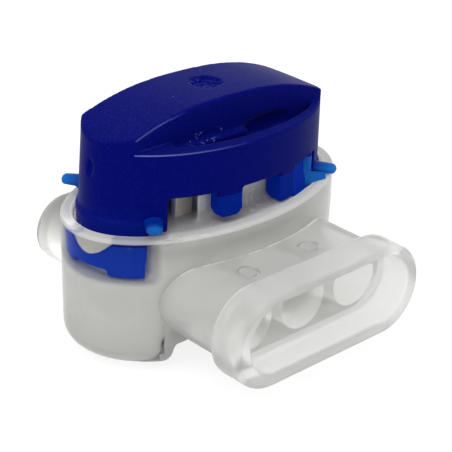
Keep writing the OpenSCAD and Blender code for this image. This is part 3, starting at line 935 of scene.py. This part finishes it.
def makeCap():
    halfLength, halfWidth = cap["topHalfLength"], cap["topHalfWidth"]
    share, skirtShare = cap["footShare"], cap["skirtShare"]
    skirtLength, skirtWidth = cap["skirtHalfLength"], cap["skirtHalfWidth"]
    piece = loft("press_cap", [ovalRing(halfLength * share, halfWidth * share, cap["legZ"]),
                               ovalRing(halfLength, halfWidth, cap["lipZ"])])
    drop, steps = cap["crownZ"] - cap["ridgeEndZ"], cap["archSteps"]
    outline = [(-halfLength - 1, cap["legZ"] + 0.1), (halfLength + 1, cap["legZ"] + 0.1)]
    for i in range(steps + 1):
        x = (halfLength + 1) * (1 - 2 * i / steps)
        outline.append((x, cap["crownZ"] - drop * abs(x / halfLength) ** cap["archPower"] - cap["lean"] * x))
    ridge = ovalBar("ridge", halfLength, halfWidth, cap["legZ"] + 0.2, cap["crownZ"] + 0.5)
    combine(ridge, "INTERSECT", prism("archedBar", outline, -cap["ridgeHalfWidth"], cap["ridgeHalfWidth"]))
    skirts = loft("skirts", [ovalRing(skirtLength * skirtShare, skirtWidth * skirtShare, cap["skirtZ"]),
                             ovalRing(skirtLength, skirtWidth, cap["flangeZ"])])
    middle, step = cap["skirtMiddle"], cap["skirtZ"] + cap["skirtStep"]
    combine(skirts, "DIFFERENCE", box("between", (-cap["skirtX"], -9, 5), (cap["skirtX"], 9, 13)),
            box("shorter", (-12, -middle, 5), (12, middle, step)),
            box("shorterRight", (0, -9, 5), (12, 9, cap["rightSkirtZ"])), *ventTools())
    combine(piece, "UNION", ridge, skirts)
    wall, levels = cap["wall"], (cap["skirtZ"] - 1, cap["roofZ"])
    hollow = ovalBar("capInside", halfLength - wall, halfWidth - wall, *levels)
    combine(hollow, "DIFFERENCE", *prongBlocks(0.0))
    for tools in ([hollow], scoopTools(), notchTools()):
        combine(piece, "DIFFERENCE", *tools)
    for side in (-1, 1):  # a set-back panel closes the notch beside the outer prong, up to a rounded rib
        panel = loft("panel", [ovalRing(*oval, z) for oval, z in zip(cap["panelOvals"], cap["panelZ"])])
        combine(panel, "DIFFERENCE", ovalBar("behind", *cap["panelInner"], 5, 18))
        combine(panel, "INTERSECT", sideBox("panelPart", side, cap["panelX"], (0, 9), (5, 18)))
        (x, y), (low, high) = cap["rib"], cap["ribZ"]
        for tool in (panel, disc("rib", cap["ribRadius"], (-side * x, side * y, low), high - low)):
            combine(piece, "UNION", tool)
    combine(piece, "DIFFERENCE", *markTools())
    remesh(piece, cap["grain"], cap["smoothing"])
    for corner in piece.data.vertices:  # the gate mark was torn, not cut
        spot = corner.co
        inside = cap["gateRadius"] + cap["gateSoft"] - math.hypot(spot.x, spot.y)
        if spot.z > cap["crownZ"] - 0.6 and inside > 0:
            spot.z += noise.noise(spot * cap["gateGrain"]) * cap["gateTear"] * min(1, inside * 3)
    return piece


def ventTools():
    outline = [(-half, z) for half, z in cap["vent"]] + [(half, z) for half, z in reversed(cap["vent"])]
    ends = (-12.5, -9.0), (10.1, 12.5)
    return [loft("vent", [[(x, y, z) for y, z in outline] for x in xs]) for xs in ends]


def ball(name, centre, halves):
    mesh = bpy.data.meshes.new(name)
    with reshaped(mesh) as shape:
        bmesh.ops.create_uvsphere(shape, u_segments=24, v_segments=14, radius=1.0)
    mesh.transform(Matrix.Translation(centre) @ Matrix.Diagonal((*halves, 1)))
    return newObject(name, mesh)


def scoopTools():
    (x, y, z), high, tools = cap["scoopHole"], cap["lipZ"] + 4, []
    for side in (-1, 1):
        tools.append(ball("hole", (-side * x, -side * y, z), cap["scoopHoleHalf"]))
        for start, end, inner, depth in cap["scoopSteps"]:
            low = cap["lipZ"] - depth
            pocket = ovalBar("scoop", cap["scoopHalfLength"], cap["scoopHalfWidth"], low, high)
            pocket.data.transform(Matrix.Translation((-side * cap["scoopX"], 0, 0)))
            keep = sideBox("pocket", side, (start, end), (inner, 9), (low - 1, high + 1))
            tools.append(combine(pocket, "INTERSECT", keep))
    return tools


def prongBlocks(extra):
    blocks, top = [], cap["notchZ"] + 1
    for side in (-1, 1):
        for prong in prongs:
            left, right, tip, bevel, inwards = prong.values()
            outline = [(left, top), (left, tip + bevel * 1.6), (left + bevel, tip), (right - bevel, tip),
                       (right, tip + bevel), (right, top)]
            ys = sorted((side * (cap["topHalfWidth"] - inwards - extra), side * 9))
            blocks.append(prism("prong", [(-side * x, z) for x, z in outline], *ys))
    return blocks


def notchTools():
    xs, zs = (cap["notchLeft"], cap["notchRight"]), (cap["legZ"] - 0.5, cap["notchZ"])
    gaps = [sideBox("notches", side, xs, (0, 8), zs) for side in (-1, 1)]
    return [combine(gap, "DIFFERENCE", *prongBlocks(0.3)) for gap in gaps]


def markTools():
    y, z = cap["dimpleY"], cap["dimpleZ"]
    reach = cap["topHalfLength"] * cap["dimpleShare"] * math.sqrt(1 - (y / cap["topHalfWidth"]) ** 2)
    tools = [ball("dimple", (side * reach, side * y, z), cap["dimpleHalf"]) for side in (-1, 1)]
    return tools + [disc("gateMark", cap["gateRadius"], (0, 0, cap["crownZ"] - cap["gateDepth"]), 1)]


# which face of the cap gets which finish; its inside is within the given share of its oval
parts = {"inside": 0.965, "endInside": 0.985, "legs": 5.5, "prongs": 7.2, "ribShare": 1.35,
         "panelFrom": 4.25}


def capShare(spot):
    return ovalShare(spot, cap["topHalfLength"], cap["topHalfWidth"])


def thinPart(spot):
    inside = capShare(spot) < parts["inside"] and spot.z < cap["notchZ"] + 0.1
    between = abs(spot.x) < parts["legs"] and spot.z < cap["notchZ"] - 0.3
    return inside or between or spot.z < cap["thinBelow"]


def alongFront(spot):
    return spot.x * math.copysign(1, -spot.y)


def ribPart(spot):
    x, y = cap["rib"]
    apart = math.hypot(alongFront(spot) - x, abs(spot.y) - y)
    return apart < cap["ribRadius"] * parts["ribShare"] and spot.z < cap["notchZ"] - 0.2


def panelPart(spot):
    return parts["panelFrom"] < alongFront(spot) < cap["notchRight"] - 0.05 and spot.z < cap["notchZ"] - 0.1


def prongPart(spot):
    return abs(spot.x) < parts["prongs"] and spot.z > cap["thinBelow"] and thinPart(spot)


def innerEnd(spot):
    edge = abs(abs(spot.x) - cap["notchRight"]) < 0.12 and capShare(spot) < parts["endInside"]
    inside = abs(spot.x) > cap["notchRight"] - 0.2 and capShare(spot) < parts["inside"]
    return spot.z < cap["notchZ"] + 0.1 and (edge or inside)


finish(perched(makeCap()), blueFinish, "press_cap", "blue_plastic", None, "cap",
       others=((webBlueFinish, ribPart), (panelBlueFinish, panelPart), (innerBlueFinish, innerEnd),
               (prongBlueFinish, prongPart), (thinBlueFinish, thinPart)))
print("cap made")


# contact element: forked plates
contact = {"halfLength": 7.57, "outerFace": 2.65, "sheet": 0.5, "foot": 9.65, "top": 14.05, "slotWidth": 0.7,
           "slotHeight": 3.2, "forkGap": 1.3, "lead": 0.35, "leadShare": 0.45, "edgeRadius": 0.06}


def forkTree(material):
    given = {"Half Length": 7.57, "Outer Face": 2.65, "Sheet": 0.5, "Foot": 9.65, "Top": 14.05,
             "Slot Width": 0.7, "Slot Height": 3.2, "Fork Gap": 1.3, "Lead": 0.35, "Ports": 3, "Pitch": 5.2}
    tree, size, result = growingTree("contactForks", given)
    half = lambda value: times(tree, value, 0.5)
    legWidth = half(minus(tree, minus(tree, size["Pitch"], size["Fork Gap"]), size["Slot Width"]))
    legSize = point(tree, legWidth, size["Sheet"], size["Slot Height"])
    leg = build(tree, "GeometryNodeMeshCube", {"Size": legSize, "Vertices Z": 8})
    x, _, z = axes(tree, build(tree, "GeometryNodeInputPosition"))
    low = calc(tree, "LESS_THAN", z, times(tree, size["Slot Height"], -contact["leadShare"]))
    inner = calc(tree, "LESS_THAN", x, 0.0)
    lead = times(tree, low, inner, size["Lead"])
    shaped = build(tree, "GeometryNodeSetPosition", {"Geometry": leg, "Offset": point(tree, lead)})
    count = times(tree, size["Ports"], 4)
    spots = build(tree, "GeometryNodePoints", {"Count": count})
    index = build(tree, "GeometryNodeInputIndex")
    port = calc(tree, "FLOORED_MODULO", index, size["Ports"])
    side = calc(tree, "FLOORED_MODULO", calc(tree, "FLOOR", calc(tree, "DIVIDE", index, size["Ports"])), 2.0)
    plate = calc(tree, "FLOOR", calc(tree, "DIVIDE", index, times(tree, size["Ports"], 2)))
    facing = minus(tree, 1.0, times(tree, side, 2.0))
    offset = plus(tree, half(size["Slot Width"]), half(legWidth))
    middle = half(minus(tree, size["Ports"], 1))
    legX = plus(tree, times(tree, minus(tree, port, middle), size["Pitch"]), times(tree, facing, offset))
    plateY = minus(tree, size["Outer Face"], half(size["Sheet"]))
    legY = times(tree, minus(tree, 1.0, times(tree, plate, 2.0)), plateY)
    legZ = plus(tree, size["Foot"], half(size["Slot Height"]))
    turn = times(tree, side, math.pi)
    where = point(tree, legX, legY, legZ)
    moved = build(tree, "GeometryNodeSetPosition", {"Geometry": spots, "Position": where})
    legs = build(tree, "GeometryNodeInstanceOnPoints", {"Points": moved, "Instance": shaped,
                                                        "Rotation": point(tree, 0.0, 0.0, turn)})
    length = times(tree, size["Half Length"], 2.0)
    barHeight = minus(tree, minus(tree, size["Top"], size["Foot"]), size["Slot Height"])
    bar = build(tree, "GeometryNodeMeshCube", {"Size": point(tree, length, size["Sheet"], barHeight)})
    barZ = minus(tree, size["Top"], half(barHeight))
    bars = [build(tree, "GeometryNodeTransform", {"Geometry": bar, "Translation": point(
        tree, 0.0, times(tree, plateY, way), barZ)}) for way in (-1.0, 1.0)]
    roof = build(tree, "GeometryNodeMeshCube", {"Size": point(
        tree, length, times(tree, size["Outer Face"], 2.0), size["Sheet"])})
    roofUp = point(tree, 0.0, 0.0, minus(tree, size["Top"], half(size["Sheet"])))
    lid = build(tree, "GeometryNodeTransform", {"Geometry": roof, "Translation": roofUp})
    joined = place(tree, "GeometryNodeJoinGeometry")
    for part in (legs, *bars, lid):
        tree.links.new(part, joined.inputs[0])
    endTree(tree, joined.outputs[0], result, material)
    return tree


forks = grow("contact_forks", forkTree(tinFinish), dict(contact, ports=ports["count"], pitch=ports["pitch"]))
roundOff = forks.modifiers.new("soften", "BEVEL")
roundOff.width, roundOff.segments, roundOff.limit_method = contact["edgeRadius"], 2, "ANGLE"
settle(forks)
finish(perched(forks), tinFinish, "press_cap", "tinned_metal", 35, "contact_element")
print("contact made")


# pegs: tapered pins that rest on the rim until the cap is pressed
pegs = {"tipX": 8.95, "tipY": 5.15, "heights": (11.62, 11.66, 11.98, 11.6), "turn": 52.0,
        "length": 2.0, "rootRadius": 0.45, "tipRadius": 0.34, "wider": 1.6, "keep": 0.12,
        "web": ((6.0, 5.0, 11.12), (7.8, 5.25, 11.12), (8.05, 4.95, 11.6), (6.75, 4.5, 11.85),
                (6.6, 4.0, 11.0), (8.0, 4.0, 11.0)), "webRadius": 0.07}


def pegTree(material):
    given = {"Tip X": 8.9, "Tip Y": 5.1, "Height": 11.47, "Turn": 52.0, "Length": 2.0, "Root Radius": 0.5,
             "Tip Radius": 0.3, "Wider": 1.35, "Sides": 24, "Steps": 28}
    tree, size, result = growingTree("restingPegs", given)
    back = times(tree, size["Length"], -1.0)
    line = place(tree, "GeometryNodeCurvePrimitiveLine", {"Start": point(tree, back), "End": (0, 0, 0)})
    path = build(tree, "GeometryNodeResampleCurve", {"Curve": line.outputs[0], "Count": size["Steps"]})
    along = place(tree, "GeometryNodeSplineParameter").outputs["Factor"]
    taper = build(tree, "ShaderNodeMix", {0: along, 2: size["Root Radius"], 3: size["Tip Radius"]})
    near = times(tree, minus(tree, along, 1.0), size["Length"])
    inCap = calc(tree, "MAXIMUM", plus(tree, near, size["Tip Radius"]), 0.0)
    share = calc(tree, "MINIMUM", calc(tree, "DIVIDE", inCap, size["Tip Radius"]), 0.995)
    roundTip = calc(tree, "SQRT", minus(tree, 1.0, times(tree, share, share)))
    width = times(tree, taper, roundTip)
    ring = build(tree, "GeometryNodeCurvePrimitiveCircle", {"Resolution": size["Sides"], "Radius": 1.0})
    pin = build(tree, "GeometryNodeCurveToMesh", {"Curve": path, "Profile Curve": ring, "Scale": width,
                                                  "Fill Caps": True})
    spots = build(tree, "GeometryNodePoints", {"Count": 4})
    index = build(tree, "GeometryNodeInputIndex")
    sideX = minus(tree, times(tree, calc(tree, "FLOORED_MODULO", index, 2.0), 2.0), 1.0)
    sideY = minus(tree, times(tree, calc(tree, "FLOOR", calc(tree, "DIVIDE", index, 2.0)), 2.0), 1.0)
    where = point(tree, times(tree, sideX, size["Tip X"]), times(tree, sideY, size["Tip Y"]), size["Height"])
    moved = build(tree, "GeometryNodeSetPosition", {"Geometry": spots, "Position": where})
    angle = calc(tree, "RADIANS", size["Turn"])
    way = calc(tree, "ARCTAN2", times(tree, sideY, calc(tree, "SINE", angle)),
               times(tree, sideX, calc(tree, "COSINE", angle)))
    wide = point(tree, 1.0, size["Wider"], 1.0)
    flat = build(tree, "GeometryNodeTransform", {"Geometry": pin, "Scale": wide})
    pins = build(tree, "GeometryNodeInstanceOnPoints", {"Points": moved, "Instance": flat,
                                                        "Rotation": point(tree, 0.0, 0.0, way)})
    endTree(tree, pins, result, material)
    return tree


pegRow = pegTree(lightBlueFinish)
for number, (sideX, sideY) in enumerate(((-1, -1), (1, -1), (-1, 1), (1, 1)), 1):
    height = pegs["heights"][number - 1]
    peg = grow(f"peg_{number}", pegRow, dict(pegs, height=height))
    with reshaped(peg.data) as shape:
        others = [corner for corner in shape.verts if corner.co.x * sideX < 0 or corner.co.y * sideY < 0]
        bmesh.ops.delete(shape, geom=others, context="VERTS")
    finish(perched(peg), lightBlueFinish, "press_cap", "light_blue_plastic", 40, "retaining_pegs")
    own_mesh(peg)
    if sideX * sideY < 0:  # two of the pegs rest on a small web
        web = newObject(f"peg_web_{number}", bpy.data.meshes.new(f"peg_web_{number}"))
        with reshaped(web.data) as shape:
            for x, y, z in pegs["web"]:
                shape.verts.new((sideX * x, sideY * y, z))
            bmesh.ops.convex_hull(shape, input=shape.verts)
        roundEdges(web, pegs["webRadius"], 3, lambda spot: True)
        finish(perched(web), webBlueFinish, "press_cap", "light_blue_plastic", 40)
        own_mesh(web)
print("pegs made")


# floor and light
studio = {"floorPale": 0.8, "cameraFloor": 0.25, "cameraGlow": 0.84, "ambient": 0.75, "background": 1.0,
          "keyPlace": (-0.16, -0.1, 0.3), "keyAim": (0, 0, 0.01), "keyPower": 0.5, "keySize": 0.2}


def seenRays(tree):
    rays = place(tree, "ShaderNodeLightPath").outputs
    plain = calc(tree, "MAXIMUM", rays["Is Camera Ray"], rays["Is Glossy Ray"])
    return calc(tree, "MAXIMUM", plain, rays["Is Transmission Ray"])


def makeFloor():
    mesh = bpy.data.meshes.new("floor")
    mesh.from_pydata([(-3, -3, 0), (3, -3, 0), (3, 3, 0), (-3, 3, 0)], [], [(0, 1, 2, 3)])
    material = bpy.data.materials.new("paleFloor")
    material.use_nodes = True
    tree = material.node_tree
    tree.nodes.clear()
    bounced = build(tree, "ShaderNodeBsdfDiffuse", {"Color": (*[studio["floorPale"]] * 3, 1)})
    shaded = build(tree, "ShaderNodeBsdfDiffuse", {"Color": (*[studio["cameraFloor"]] * 3, 1)})
    glow = build(tree, "ShaderNodeEmission", {"Color": (1, 1, 1, 1), "Strength": studio["cameraGlow"]})
    seen = build(tree, "ShaderNodeAddShader", {0: shaded, 1: glow})
    both = build(tree, "ShaderNodeMixShader", {0: seenRays(tree), 1: bounced, 2: seen})
    place(tree, "ShaderNodeOutputMaterial", {"Surface": both})
    mesh.materials.append(material)
    floor = newObject("floor", mesh)


def makeLight():
    world = bpy.data.worlds.new("studio")
    bpy.context.scene.world = world
    world.use_nodes = True
    tree = world.node_tree
    tree.nodes.clear()
    soft = build(tree, "ShaderNodeBackground", {"Color": (1, 1, 1, 1), "Strength": studio["ambient"]})
    white = build(tree, "ShaderNodeBackground", {"Color": (1, 1, 1, 1), "Strength": studio["background"]})
    mixed = build(tree, "ShaderNodeMixShader", {0: seenRays(tree), 1: soft, 2: white})
    place(tree, "ShaderNodeOutputWorld", {"Surface": mixed})
    lamp = bpy.data.lights.new("softKey", "AREA")
    lamp.energy, lamp.shape, lamp.size = studio["keyPower"], "SQUARE", studio["keySize"]
    key = newObject("softKey", lamp)
    key.location = studio["keyPlace"]
    aim = Vector(studio["keyAim"]) - Vector(studio["keyPlace"])
    key.rotation_euler = aim.to_track_quat("-Z", "Y").to_euler()


makeFloor()
makeLight()
bpy.context.scene.view_settings.view_transform = "Standard"
print("stage lit")
